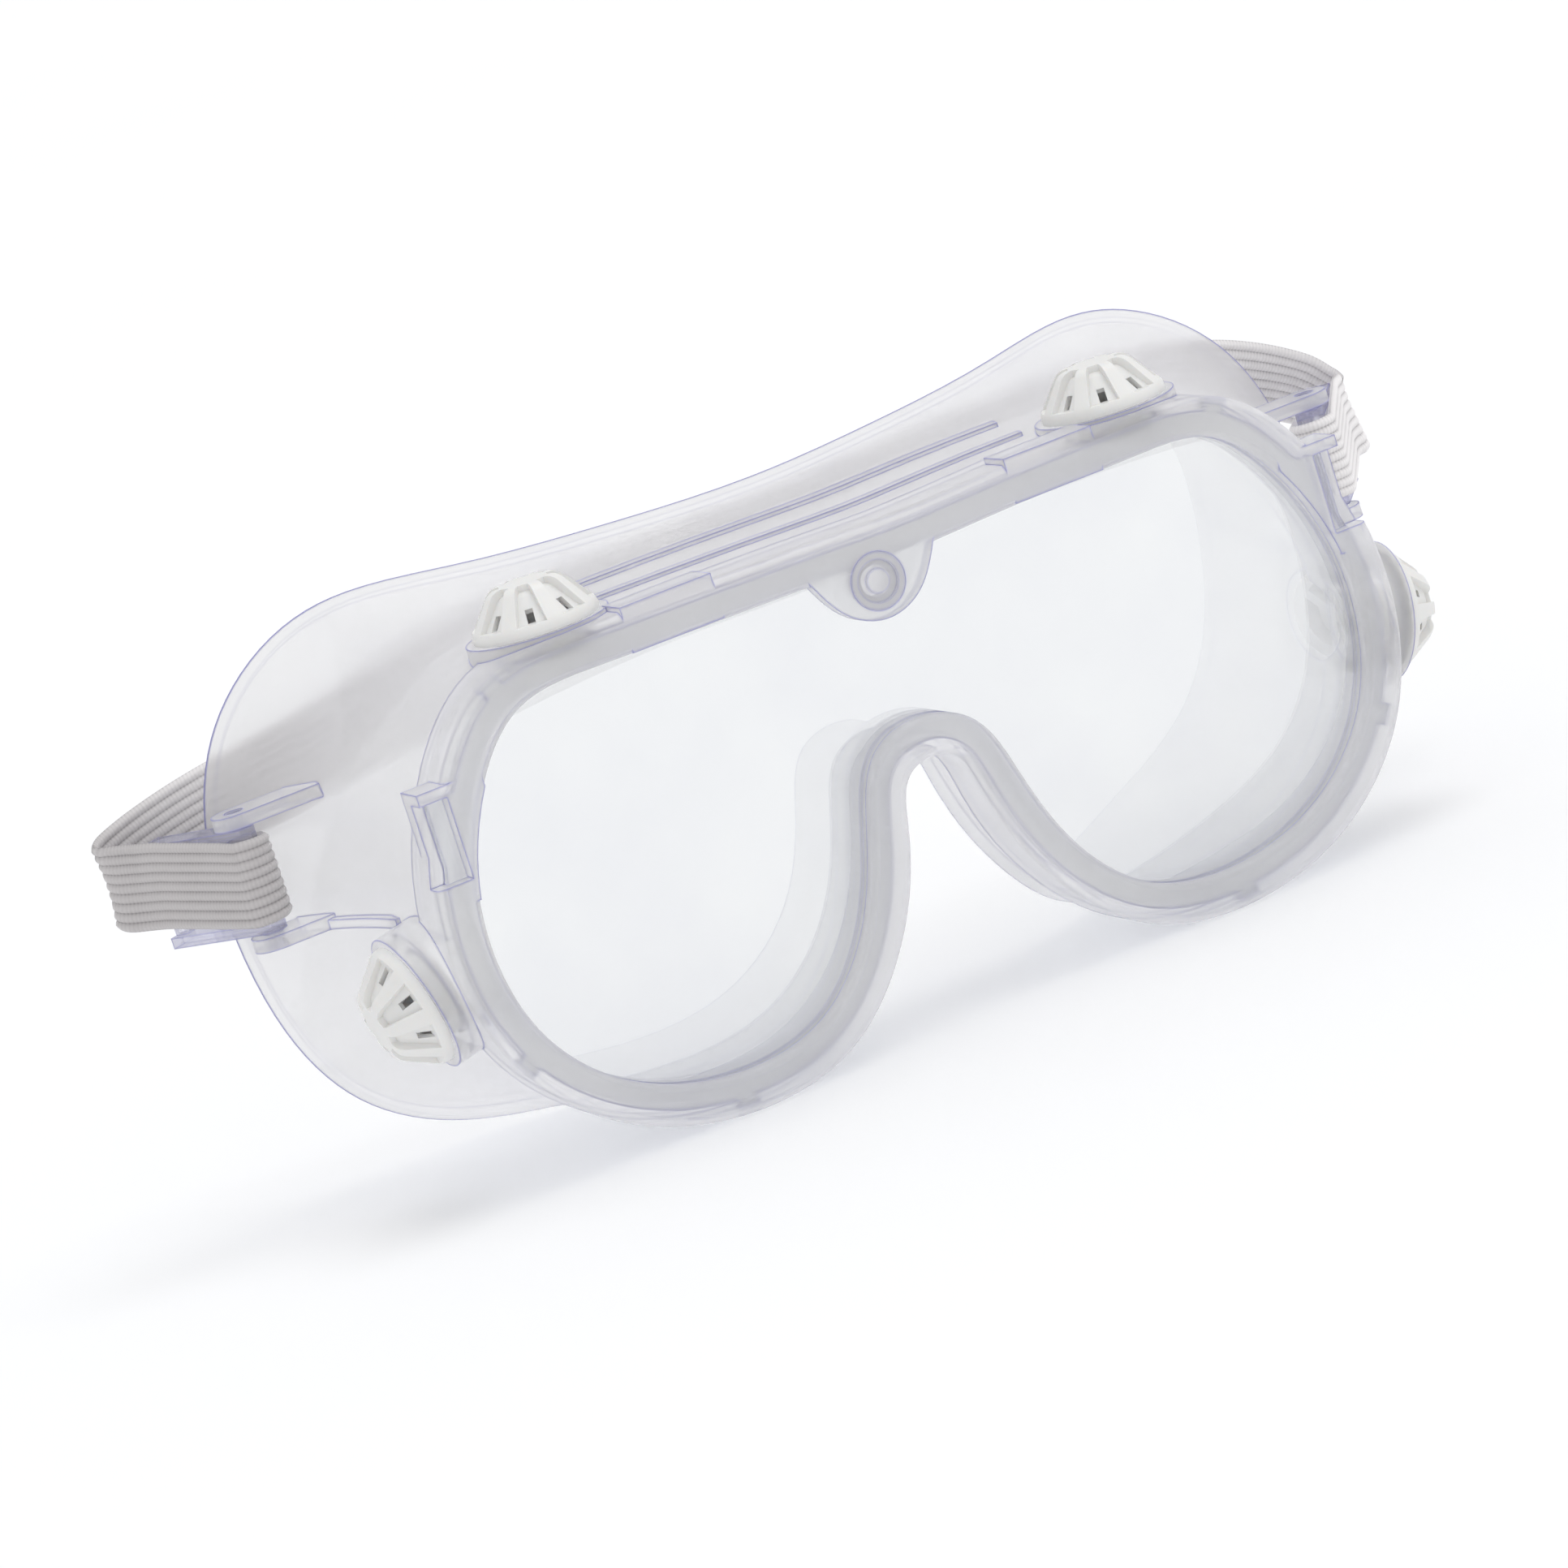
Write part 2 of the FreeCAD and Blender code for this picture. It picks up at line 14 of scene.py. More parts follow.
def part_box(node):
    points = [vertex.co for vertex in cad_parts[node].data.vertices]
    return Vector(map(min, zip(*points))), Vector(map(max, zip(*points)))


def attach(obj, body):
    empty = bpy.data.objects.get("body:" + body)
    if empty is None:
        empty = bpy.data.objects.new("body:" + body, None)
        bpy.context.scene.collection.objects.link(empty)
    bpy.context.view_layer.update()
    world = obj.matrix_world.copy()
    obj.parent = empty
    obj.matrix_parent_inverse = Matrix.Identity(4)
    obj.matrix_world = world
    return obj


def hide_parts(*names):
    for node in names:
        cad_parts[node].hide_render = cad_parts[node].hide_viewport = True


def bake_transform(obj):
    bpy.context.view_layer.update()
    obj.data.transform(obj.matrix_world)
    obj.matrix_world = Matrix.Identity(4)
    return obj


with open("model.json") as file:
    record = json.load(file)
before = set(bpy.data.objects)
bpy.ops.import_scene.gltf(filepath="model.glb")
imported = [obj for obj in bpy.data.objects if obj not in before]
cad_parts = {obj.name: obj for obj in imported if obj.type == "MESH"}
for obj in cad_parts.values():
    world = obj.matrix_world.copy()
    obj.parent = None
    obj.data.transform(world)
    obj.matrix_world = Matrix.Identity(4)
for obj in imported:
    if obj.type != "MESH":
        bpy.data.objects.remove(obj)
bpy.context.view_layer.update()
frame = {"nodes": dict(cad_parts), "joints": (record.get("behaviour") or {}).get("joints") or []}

MM = 0.001
VENTS = ("top_left", "top_right", "side_left", "side_right")
SIDES = {"left": -1.0, "right": 1.0}

# ---- places taken from the frame -----------------------------------------------------------------
STUD_UP = 27.0 * MM             # the brow stud's height above the lens's middle
LENS_LOW, LENS_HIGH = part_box("lens")
STUD_LOW, STUD_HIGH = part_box("brow_stud")
LENS_MIDDLE = Vector((0, (LENS_LOW.y + LENS_HIGH.y) / 2, (STUD_LOW.z + STUD_HIGH.z) / 2 - STUD_UP))
PIVOTS = {j["child"]: Vector(j["pos_m"]) for j in frame["joints"]}

# ---- camera: degrees, metres, and millimetres for its lens and sensor ----------------------------
VIEW_AZIMUTH = -20.28
VIEW_ELEVATION = 11.39
VIEW_ROLL = 17.73
VIEW_DISTANCE = 0.905
VIEW_LENS = 150.4
SENSOR = 36.0
AIM_RIGHT = -19.63 * MM         # the point looked at, from the lens's middle and in the picture's axes
AIM_UP = -2.83 * MM

# ---- light and floor -----------------------------------------------------------------------------
SKY_COLOUR = (0.985, 0.99, 1.0)
SKY_STRENGTH = 0.79
SUN_STRENGTH = 0.92
SUN_SPREAD = 42.0
SUN_FROM = (0.3, -0.1, 1.0)
FLOOR_REACH = 30.0              # far enough that no edge shows

# ---- plastics ------------------------------------------------------------------------------------
MILK = (0.96, 0.955, 0.955)
STRAIGHT = 0.5                  # share of the light that goes through without bending
PALE_SHADOW = (0.77, 0.78, 0.80)
PAINTED_EDGE_SHADE = (0.25, 0.25, 0.52)  # painted shade: a violet line at the corners of clear mouldings, for the dark edges that light bent inside the plastic gives
EDGE_WIDTH = 0.5 * MM
EDGE_STARTS = 0.995             # likeness of the sharp and the rounded normal where the painted edge shade starts
EDGE_FULL = 0.90                # and where it is full
RIPPLE_HEIGHT = 0.6 * MM
THROUGH_WHITE = 0.08            # share of the light that passes through thin white plastic
THROUGH_COLOUR = (0.96, 0.955, 0.94)
WHITE_REACH = (1.2 * MM, 1.0 * MM, 0.8 * MM)   # how far red, green and blue spread in white plastic
GRAIN_HEIGHT = 0.05 * MM

# ---- strap ---------------------------------------------------------------------------------------
STRAP_WIDTH = 12.7 * MM
STRAP_GRIPPED = 11.2 * MM       # width where the clip squeezes the strap
GRIP_REACH = 22.0 * MM          # way from the barrel in which the strap gets its full width again
STRAP_RISE = 2.0 * MM
STRAP_THICK = 1.2 * MM
STRAP_RIBS = 9
RIB_DEPTH = 0.3 * MM
STITCH = 1.7 * MM
STITCH_HEIGHT = 0.12 * MM
FUZZ_HEIGHT = 0.06 * MM
CREST_LIGHT = 0.65              # what a rib's crest (painted light, with painted shade in the grooves), a stitch and the mottling add to the lightness
STITCH_LIGHT = 0.2
MOTTLE_LIGHT = 0.15
STRAP_OFF_CLIP = 3.0 * MM
STRAP_STEP = 0.6 * MM
CLIP_SWING = 33.0               # degrees that each clip stands out from straight back
BARREL_START = (7.0 * MM, 3.5 * MM)          # the strap's short inner run, from its cut end
CLIP_RUN = (3.5 * MM, 7.0 * MM, 11.0 * MM, 14.5 * MM)   # its outer run, up to the clip's far bar
RISE_REACH = 15.0 * MM          # way along the clip in which the strap climbs by STRAP_RISE
BARREL_STEP = 20                # degrees between the points round the barrel
PAINTED_SHADE_FULL_TO = 38.0 * MM            # painted shade: the left end of the strap is darkened up to here, for the shade on its front band
PAINTED_SHADE_GONE_AT = 60.0 * MM
PAINTED_SHADE_COLOUR = (0.62, 0.61, 0.61)

# The middle line in millimetres in the lens's frame: x to the right, y back, z up. Last come the
# degrees that the strap's upper edge leans to the right hand side of its way.
STRAP_RUN = [(-99.4, 45.8, 15.4, 0), (-101.7, 47.8, 15.9, 0), (-102.3, 49.8, 16.5, 0),
             (-99.8, 51.4, 17.3, 0), (-94.5, 51.8, 18.8, 0), (-87.5, 50.3, 20.7, 0),
             (-80.0, 46.8, 22.6, 0), (-73.0, 41.2, 24.5, 0), (-61.0, 36.8, 27.2, 0),
             (-46.0, 35.4, 29.8, 0), (-24.0, 33.0, 31.4, 0), (0.0, 31.8, 31.4, 0),
             (24.0, 33.0, 31.8, 0), (46.0, 36.0, 31.4, 0), (61.0, 39.6, 30.4, 0),
             (72.0, 44.2, 28.8, 4), (80.0, 48.6, 27.0, 14), (88.0, 51.0, 24.2, 28),
             (94.5, 51.6, 21.0, 35), (98.3, 50.7, 17.9, 32), (100.4, 49.0, 15.9, 22),
             (100.6, 47.0, 15.2, 10), (99.4, 45.4, 15.2, 0)]
LEFT_JOIN = 2                   # the points of this line where the end pieces meet the middle one
RIGHT_JOIN = -3


# ================================== node helpers ==================================================
def new_material(name):
    """An empty node material; returns the material, its nodes, its links and its output."""
    material = bpy.data.materials.new(name)
    material.use_nodes = True
    nodes, links = material.node_tree.nodes, material.node_tree.links
    nodes.clear()
    output = nodes.new("ShaderNodeOutputMaterial")
    return material, nodes, links, output


def add(nodes, kind, **inputs):
    """A node with some of its inputs set, by name with _ for a space."""
    node = nodes.new(kind)
    for name, value in inputs.items():
        node.inputs[name.replace("_", " ")].default_value = value
    return node


def noise(nodes, links, scale, detail=4.0, stretch=(1, 1, 1)):
    """Noise in the object's own space, in features per metre."""
    place = nodes.new("ShaderNodeTexCoord")
    mapping = nodes.new("ShaderNodeMapping")
    mapping.inputs["Scale"].default_value = stretch
    links.new(place.outputs["Object"], mapping.inputs["Vector"])
    texture = add(nodes, "ShaderNodeTexNoise", Scale=scale, Detail=detail)
    links.new(mapping.outputs["Vector"], texture.inputs["Vector"])
    return texture.outputs["Fac"]


def ramp(nodes, links, source, stops):
    """A colour ramp over a value; stops are (position, colour)."""
    node = nodes.new("ShaderNodeValToRGB")
    elements = node.color_ramp.elements
    while len(elements) < len(stops):
        elements.new(0.5)
    for element, (position, colour) in zip(elements, stops):
        element.position = position
        element.color = colour if len(colour) == 4 else (*colour, 1.0)
    links.new(source, node.inputs["Fac"])
    return node.outputs["Color"]


def maths(nodes, links, operation, *values):
    """One sum on values, each a number or another node's output."""
    node = nodes.new("ShaderNodeMath")
    node.operation = operation
    for entry, value in zip(node.inputs, values):
        if isinstance(value, float):
            entry.default_value = value
        else:
            links.new(value, entry)
    return node.outputs["Value"]


def map_range(nodes, links, source, low, high, start=0.0, end=1.0):
    """A value moved from one range to another."""
    node = add(nodes, "ShaderNodeMapRange")
    node.inputs["From Min"].default_value = start
    node.inputs["From Max"].default_value = end
    node.inputs["To Min"].default_value = low
    node.inputs["To Max"].default_value = high
    links.new(source, node.inputs["Value"])
    return node.outputs["Result"]


def multiply(nodes, links, first, second):
    """One colour times another."""
    node = nodes.new("ShaderNodeMix")
    node.data_type = "RGBA"
    node.blend_type = "MULTIPLY"
    node.inputs["Factor"].default_value = 1.0
    links.new(first, node.inputs["A"])
    links.new(second, node.inputs["B"])
    return node.outputs["Result"]


def blend_shaders(nodes, links, share, first, second):
    """The first shader with a share of the second."""
    node = add(nodes, "ShaderNodeMixShader", Fac=share)
    links.new(first.outputs[0], node.inputs[1])
    links.new(second.outputs[0], node.inputs[2])
    return node


def bump(nodes, links, height, strength, distance):
    """A bump from a height value; distance in metres."""
    node = add(nodes, "ShaderNodeBump", Strength=strength, Distance=distance)
    links.new(height, node.inputs["Height"])
    return node.outputs["Normal"]


# ================================== materials =====================================================
def corner_share(nodes, links, most):
    """Up to most next to the moulding's corners, and 0 on its plain faces."""
    soft = nodes.new("ShaderNodeBevel")
    soft.samples = 6
    soft.inputs["Radius"].default_value = EDGE_WIDTH
    plain = nodes.new("ShaderNodeNewGeometry")
    likeness = nodes.new("ShaderNodeVectorMath")
    likeness.operation = "DOT_PRODUCT"
    links.new(soft.outputs["Normal"], likeness.inputs[0])
    links.new(plain.outputs["Normal"], likeness.inputs[1])
    return map_range(nodes, links, likeness.outputs["Value"], 0.0, most, EDGE_STARTS, EDGE_FULL)


def clear_material(name, face, edge, tint, depth, rough, ior, ripple, milk, edge_shade_share):
    """Clear plastic: face and edge are what each surface lets through, seen straight on and
    along it, tint and depth are what the plastic takes from a longer way, milk is the cloudy
    share, and the last argument is the share of painted violet shade at the corners. Its shadow is
    pale."""
    material, nodes, links, output = new_material(name)
    shader = add(nodes, "ShaderNodeBsdfPrincipled", IOR=ior)
    shader.inputs["Transmission Weight"].default_value = 1.0
    haze = noise(nodes, links, 60.0)
    links.new(map_range(nodes, links, haze, rough * 0.6, rough * 1.5, 0.35, 0.7),
              shader.inputs["Roughness"])
    grazing = add(nodes, "ShaderNodeLayerWeight", Blend=0.35)
    through = ramp(nodes, links, grazing.outputs["Facing"], [(0.15, face), (0.95, edge)])
    cloud = ramp(nodes, links, haze, [(0.3, (0.97, 0.97, 0.98)), (0.7, (1.0, 1.0, 1.0))])
    links.new(multiply(nodes, links, through, cloud), shader.inputs["Base Color"])
    waves = noise(nodes, links, 45.0, 2.0)
    links.new(bump(nodes, links, waves, ripple, RIPPLE_HEIGHT), shader.inputs["Normal"])
    front = add(nodes, "ShaderNodeBsdfDiffuse", Color=(*MILK, 1.0))
    behind = add(nodes, "ShaderNodeBsdfTranslucent", Color=(*MILK, 1.0))
    cloudy = blend_shaders(nodes, links, 0.5, front, behind)
    straight = nodes.new("ShaderNodeBsdfTransparent")
    links.new(multiply(nodes, links, through, cloud), straight.inputs["Color"])
    bent = blend_shaders(nodes, links, STRAIGHT, shader, straight)
    moulded = blend_shaders(nodes, links, milk, bent, cloudy)
    # painted shade: a violet diffuse share at the corners stands in for the dark edges of clear
    # plastic
    painted_edge_shade = add(nodes, "ShaderNodeBsdfDiffuse", Color=(*PAINTED_EDGE_SHADE, 1.0))
    body = blend_shaders(nodes, links, 0.0, moulded, painted_edge_shade)
    links.new(corner_share(nodes, links, edge_shade_share), body.inputs["Fac"])
    clear = add(nodes, "ShaderNodeBsdfTransparent", Color=(*PALE_SHADOW, 1.0))
    final = blend_shaders(nodes, links, 0.0, body, clear)
    rays = nodes.new("ShaderNodeLightPath")
    links.new(rays.outputs["Is Shadow Ray"], final.inputs["Fac"])
    links.new(final.outputs["Shader"], output.inputs["Surface"])
    absorb = nodes.new("ShaderNodeVolumeAbsorption")
    absorb.inputs["Color"].default_value = (*tint, 1.0)
    absorb.inputs["Density"].default_value = depth
    links.new(absorb.outputs["Volume"], output.inputs["Volume"])
    return material


def vent_material(name, light, shade):
    """Warm white moulded plastic with a fine satin skin, which lets some light through."""
    material, nodes, links, output = new_material(name)
    shader = add(nodes, "ShaderNodeBsdfPrincipled", IOR=1.49)
    shader.inputs["Subsurface Weight"].default_value = 0.25
    shader.inputs["Subsurface Radius"].default_value = WHITE_REACH
    shader.inputs["Subsurface Scale"].default_value = 1.0
    blotch = noise(nodes, links, 180.0)
    links.new(ramp(nodes, links, blotch, [(0.3, shade), (0.7, light)]), shader.inputs["Base Color"])
    links.new(map_range(nodes, links, blotch, 0.32, 0.5), shader.inputs["Roughness"])
    grain = noise(nodes, links, 2600.0, 3.0)
    links.new(bump(nodes, links, grain, 0.12, GRAIN_HEIGHT), shader.inputs["Normal"])
    glow = add(nodes, "ShaderNodeBsdfTranslucent", Color=(*THROUGH_COLOUR, 1.0))
    final = blend_shaders(nodes, links, THROUGH_WHITE, shader, glow)
    links.new(final.outputs["Shader"], output.inputs["Surface"])
    return material


def elastic_material():
    """Knitted elastic: lengthwise ribs with painted shade in the grooves, fine stitches across each
    rib, and painted shade over the strap's left end.
    """
    material, nodes, links, output = new_material("elastic_knit")
    shader = add(nodes, "ShaderNodeBsdfPrincipled", IOR=1.45)
    shader.inputs["Sheen Weight"].default_value = 0.3
    shader.inputs["Sheen Roughness"].default_value = 0.5
    along = nodes.new("ShaderNodeUVMap")
    along.uv_map = "strap"
    parts = nodes.new("ShaderNodeSeparateXYZ")
    links.new(along.outputs["UV"], parts.inputs["Vector"])
    turns = maths(nodes, links, "MULTIPLY", parts.outputs["Y"], math.pi * STRAP_RIBS / STRAP_WIDTH)
    offset = maths(nodes, links, "ADD", turns, math.pi * STRAP_RIBS / 2)
    rib = maths(nodes, links, "ABSOLUTE", maths(nodes, links, "SINE", offset))
    crest = maths(nodes, links, "POWER", rib, 0.6)
    stitch = add(nodes, "ShaderNodeTexWave", Scale=1.0, Distortion=1.0, Detail=2.0)
    stitch.inputs["Detail Scale"].default_value = 2.0
    mapping = nodes.new("ShaderNodeMapping")
    mapping.inputs["Scale"].default_value = (1.0 / STITCH, 0.3 / STITCH, 1.0)
    links.new(along.outputs["UV"], mapping.inputs["Vector"])
    links.new(mapping.outputs["Vector"], stitch.inputs["Vector"])
    fuzz = noise(nodes, links, 1400.0, 3.0)
    mottle = noise(nodes, links, 120.0, 2.0)
    # painted shade: the grooves between the ribs are darker and the crests lighter
    shade = maths(nodes, links, "MULTIPLY", crest, CREST_LIGHT)
    knots = map_range(nodes, links, stitch.outputs["Fac"], 0.0, STITCH_LIGHT)
    patches = map_range(nodes, links, mottle, 0.0, MOTTLE_LIGHT, 0.3, 0.7)
    mixed = maths(nodes, links, "ADD", maths(nodes, links, "ADD", shade, knots), patches)
    knit = ramp(nodes, links, mixed,
                [(0.1, (0.50, 0.48, 0.49)), (0.5, (0.80, 0.775, 0.775)), (0.9, (0.91, 0.885, 0.885))])
    # painted shade: the strap's left end is darker, fading out along its length
    painted_shade_fade = map_range(nodes, links, parts.outputs["X"], 0.0, 1.0, PAINTED_SHADE_FULL_TO, PAINTED_SHADE_GONE_AT)
    painted_shade = ramp(nodes, links, painted_shade_fade, [(0.0, PAINTED_SHADE_COLOUR), (1.0, (1.0, 1.0, 1.0))])
    links.new(multiply(nodes, links, knit, painted_shade), shader.inputs["Base Color"])
    links.new(map_range(nodes, links, fuzz, 0.75, 0.95), shader.inputs["Roughness"])
    first = add(nodes, "ShaderNodeBump", Strength=0.4, Distance=STITCH_HEIGHT)
    links.new(stitch.outputs["Fac"], first.inputs["Height"])
    second = add(nodes, "ShaderNodeBump", Strength=0.3, Distance=FUZZ_HEIGHT)
    links.new(fuzz, second.inputs["Height"])
    links.new(first.outputs["Normal"], second.inputs["Normal"])
    links.new(second.outputs["Normal"], shader.inputs["Normal"])
    links.new(shader.outputs["BSDF"], output.inputs["Surface"])
    return material


def floor_material():
    """Plain pale matt floor."""
    material, nodes, links, output = new_material("pale_floor")
    shader = add(nodes, "ShaderNodeBsdfPrincipled", Roughness=0.9)
    cloud = noise(nodes, links, 3.0, 2.0)
    links.new(ramp(nodes, links, cloud, [(0.3, (0.955, 0.958, 0.965)), (0.7, (0.965, 0.967, 0.972))]),
              shader.inputs["Base Color"])
    links.new(shader.outputs["BSDF"], output.inputs["Surface"])
    return material


def dress(piece, material):
    """The piece wears only this material."""
    piece.data.materials.clear()
    piece.data.materials.append(material)


# ================================== strap =========================================================
def from_lens(x, y, z):
    """A point given in millimetres from the lens's middle."""
    return LENS_MIDDLE + Vector((x, y, z)) * MM


def spline(points, step):
    """Even points along a smooth curve; each is a place with its lean as a fourth value."""
    ends = [points[0] * 2 - points[1]] + list(points) + [points[-1] * 2 - points[-2]]
    per_span = 24
    dense = []
    for a, b, c, d in zip(ends, ends[1:], ends[2:], ends[3:]):
        for k in range(per_span):
            t = k / per_span
            dense.append(0.5 * (2 * b + (c - a) * t + (2 * a - 5 * b + 4 * c - d) * t ** 2
                                + (3 * b - a - 3 * c + d) * t ** 3))
    dense.append(points[-1])
    lengths = [0.0]
    for a, b in zip(dense, dense[1:]):
        lengths.append(lengths[-1] + (b - a).xyz.length)
    count = max(2, round(lengths[-1] / step))
    even, at = [], 0
    for k in range(count + 1):
        target = lengths[-1] * k / count
        while at < len(lengths) - 2 and lengths[at + 1] < target:
            at += 1
        span = max(lengths[at + 1] - lengths[at], 1e-9)
        even.append(dense[at].lerp(dense[at + 1], (target - lengths[at]) / span))
    return even


def smooth(share):
    """From 0 to 1 with a soft start and end."""
    share = max(0.0, min(1.0, share))
    return share * share * (3 - 2 * share)


def strap_section():
    """Half ribs on both faces of the band, as (across, out) in metres, going round once. The
    band thins to its edges over a few points."""
    per_rib, rounded, edge_share = 6, 3, 0.55
    count = STRAP_RIBS * per_rib
    face = []
    for k in range(count + 1):
        across = (k / count - 0.5) * STRAP_WIDTH
        wave = abs(math.sin(math.pi * STRAP_RIBS * k / count)) ** 0.7
        inwards = min(1.0, min(k, count - k) / rounded)
        thickness = STRAP_THICK * (edge_share + (1 - edge_share) * inwards)
        face.append((across, thickness / 2 - RIB_DEPTH * (1 - wave)))
    back = [(across, -out) for across, out in reversed(face)]
    return face + back


def sweep(name, path, first, last, material):
    """The closed band of the strap between two of the path's points."""
    mesh = bmesh.new()
    uv = mesh.loops.layers.uv.new("strap")
    section = strap_section()
    rings, runs = [], []
    for i in range(first, last + 1):
        before, after = path[max(i - 1, 0)].xyz, path[min(i + 1, len(path) - 1)].xyz
        along = (after - before).normalized()
        flat = Vector((along.x, along.y, 0)).normalized()
        lean = Matrix.Rotation(path[i].w, 3, along)
        out = lean @ Vector((-flat.y, flat.x, 0))
        up = along.cross(out).normalized()
        up = up if up.z > 0 else -up
        near_end = min(i, len(path) - 1 - i) * STRAP_STEP
        grip = 1 - smooth(near_end / GRIP_REACH)
        width = 1 - grip * (1 - STRAP_GRIPPED / STRAP_WIDTH)
        rings.append([mesh.verts.new(path[i].xyz + up * u * width + out * v) for u, v in section])
        runs.append(i * STRAP_STEP)
    size = len(section)
    around = [u for u, v in section] + [section[0][0]]
    for i in range(len(rings) - 1):
        for k in range(size):
            m = (k + 1) % size
            face = mesh.faces.new((rings[i][k], rings[i][m], rings[i + 1][m], rings[i + 1][k]))
            face.smooth = True
            for loop, (r, a) in zip(face.loops, ((i, k), (i, k + 1), (i + 1, k + 1), (i + 1, k))):
                loop[uv].uv = (runs[r], around[a])
    for ring in (rings[0], rings[-1]):
        cap = mesh.faces.new(ring)
        for loop in cap.loops:
            loop[uv].uv = (0.0, 0.0)
    bmesh.ops.recalc_face_normals(mesh, faces=mesh.faces)
    data = bpy.data.meshes.new(name)
    mesh.to_mesh(data)
    mesh.free()
    piece = bpy.data.objects.new(name, data)
    bpy.context.scene.collection.objects.link(piece)
    dress(piece, material)
    return piece


def clip_point(side, x, y):
    """A point beside a clip: x is out of its face and y along it from the pivot, in metres."""
    sign, swing = SIDES[side], math.radians(CLIP_SWING)
    turn = Matrix.Rotation(-sign * swing, 3, "Z")
    return PIVOTS["clip_" + side] + turn @ Vector((sign * x, y, 0))


def barrel_turn(side):
    """The strap's way round the clip's barrel and out along the clip's outer face."""
    points = [clip_point(side, -STRAP_OFF_CLIP, along) for along in BARREL_START]
    for degrees in range(0, 181, BARREL_STEP):
        angle = math.radians(degrees)
        points.append(clip_point(side, -STRAP_OFF_CLIP * math.cos(angle),
                                 -STRAP_OFF_CLIP * math.sin(angle)))
    for along in CLIP_RUN:
        climb = Vector((0, 0, STRAP_RISE * along / RISE_REACH))
        points.append(clip_point(side, STRAP_OFF_CLIP, along) + climb)
    return [Vector((*point, 0.0)) for point in points]


def nearest(path, place):
    """Index of the path's point nearest to a place."""
    return min(range(len(path)), key=lambda i: (path[i].xyz - place).length)


def make_strap(material):
    """Three pieces of one strap: the middle one goes with the root, and each end runs round its clip's
    barrel and bends to meet the middle.
    """
    run = [Vector((*from_lens(x, y, z), math.radians(lean))) for x, y, z, lean in STRAP_RUN]
    path = spline(barrel_turn("left") + run + barrel_turn("right")[::-1], STRAP_STEP)
    left = nearest(path, run[LEFT_JOIN].xyz)
    right = nearest(path, run[RIGHT_JOIN].xyz)
    main = sweep("strap_middle", path, left, right, material)
    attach(main, "root")
    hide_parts("strap_main")
    for side, first, last, join in (("left", 0, left, left), ("right", right, len(path) - 1, right)):
        piece = sweep("strap_" + side, path, first, last, material)
        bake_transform(piece)
        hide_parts("strap_end_" + side)


# ================================== stage =========================================================
def make_floor(material):
    """A wide plain floor that the goggles stand on."""
    data = bpy.data.meshes.new("floor")
    corners = [(-FLOOR_REACH, -FLOOR_REACH, 0), (FLOOR_REACH, -FLOOR_REACH, 0),
               (FLOOR_REACH, FLOOR_REACH, 0), (-FLOOR_REACH, FLOOR_REACH, 0)]
    data.from_pydata(corners, [], [(0, 1, 2, 3)])
    floor = bpy.data.objects.new("floor", data)
    bpy.context.scene.collection.objects.link(floor)
    dress(floor, material)


def make_light():
    """A pale even sky, and one very soft sun overhead."""
    world = bpy.data.worlds.new("sky")
    world.use_nodes = True
    sky = world.node_tree.nodes["Background"]
    sky.inputs["Color"].default_value = (*SKY_COLOUR, 1.0)
    sky.inputs["Strength"].default_value = SKY_STRENGTH
    bpy.context.scene.world = world
    lamp = bpy.data.lights.new("soft_sun", "SUN")
    lamp.angle = math.radians(SUN_SPREAD)
    lamp.energy = SUN_STRENGTH
    light = bpy.data.objects.new("soft_sun", lamp)
    light.rotation_euler = (-Vector(SUN_FROM)).to_track_quat("-Z", "Y").to_euler()
    bpy.context.scene.collection.objects.link(light)
    bpy.context.scene.view_settings.view_transform = "Standard"


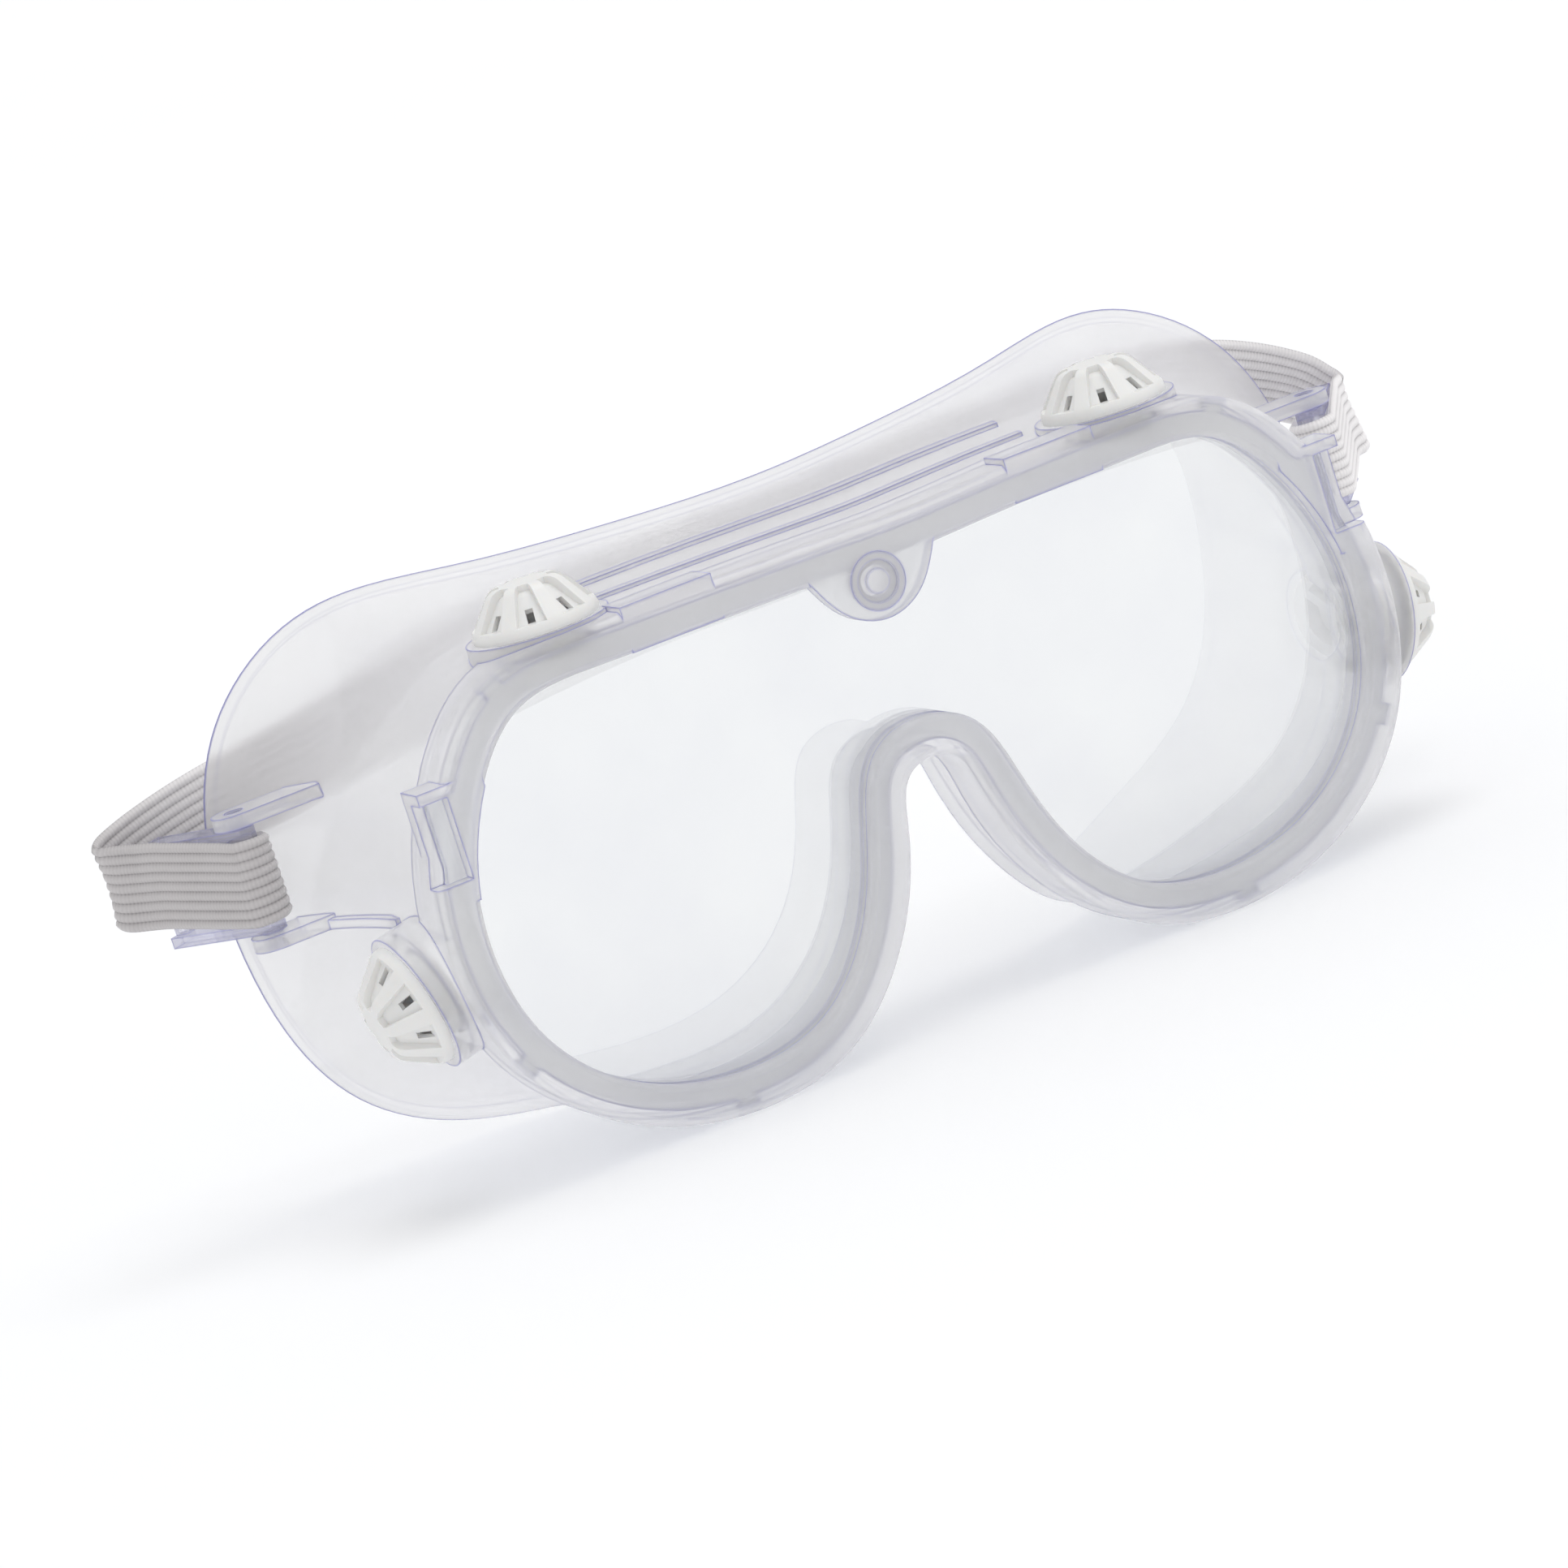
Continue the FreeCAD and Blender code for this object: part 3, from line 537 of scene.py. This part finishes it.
def make_camera():
    """The camera, at a long lens's distance, rolled about its own axis."""
    a, e = math.radians(VIEW_AZIMUTH), math.radians(VIEW_ELEVATION)
    back = Vector((math.sin(a) * math.cos(e), -math.cos(a) * math.cos(e), math.sin(e)))
    turn = (-back).to_track_quat("-Z", "Y").to_matrix()
    turn = Matrix.Rotation(math.radians(-VIEW_ROLL), 3, back) @ turn
    right, up = turn @ Vector((1, 0, 0)), turn @ Vector((0, 1, 0))
    data = bpy.data.cameras.new("camera")
    data.sensor_width = SENSOR
    data.lens = VIEW_LENS
    camera = bpy.data.objects.new("camera", data)
    aim = from_lens(0, 0, 0) + right * AIM_RIGHT + up * AIM_UP
    camera.matrix_world = Matrix.Translation(aim + back * VIEW_DISTANCE) @ turn.to_4x4()
    bpy.context.scene.collection.objects.link(camera)
    bpy.context.scene.camera = camera


# ================================== making ========================================================
make_camera()
make_light()
make_floor(floor_material())

vinyl = clear_material("clear_vinyl", face=(0.96, 0.96, 0.96), edge=(0.95, 0.945, 0.965),
                       tint=(0.88, 0.87, 0.93), depth=3.0, rough=0.12, ior=1.42,
                       ripple=0.25, milk=0.32, edge_shade_share=0.8)
lens_plastic = clear_material("clear_lens", face=(0.94, 0.946, 0.945), edge=(0.88, 0.89, 0.92),
                              tint=(0.90, 0.92, 0.99), depth=10.0, rough=0.01, ior=1.5,
                              ripple=0.02, milk=0.03, edge_shade_share=0.3)
rigid = clear_material("clear_rigid", face=(0.92, 0.92, 0.95), edge=(0.66, 0.66, 0.82),
                       tint=(0.62, 0.62, 0.86), depth=60.0, rough=0.05, ior=1.5,
                       ripple=0.1, milk=0.15, edge_shade_share=0.6)
stud_plastic = clear_material("clear_stud", face=(0.95, 0.95, 0.955), edge=(0.86, 0.86, 0.90),
                              tint=(0.85, 0.85, 0.92), depth=15.0, rough=0.15, ior=1.42,
                              ripple=0.1, milk=0.6, edge_shade_share=0.4)
dress(frame["nodes"]["face_frame"], vinyl)
dress(frame["nodes"]["lens"], lens_plastic)
dress(frame["nodes"]["brow_stud"], stud_plastic)
for side_name in SIDES:
    dress(frame["nodes"]["clip_" + side_name], rigid)

cap_white = vent_material("vent_white", light=(0.88, 0.875, 0.86), shade=(0.85, 0.845, 0.825))
# painted light: the vents' inner bases and baffles are paler than the caps, to lift the shade inside
# the slots
inner_painted_light = vent_material("vent_inner", light=(0.93, 0.925, 0.91), shade=(0.90, 0.895, 0.88))
for vent in VENTS:
    dress(frame["nodes"]["vent_cap_" + vent], cap_white)
    dress(frame["nodes"]["vent_base_" + vent], inner_painted_light)
    dress(frame["nodes"]["vent_baffle_" + vent], inner_painted_light)

make_strap(elastic_material())
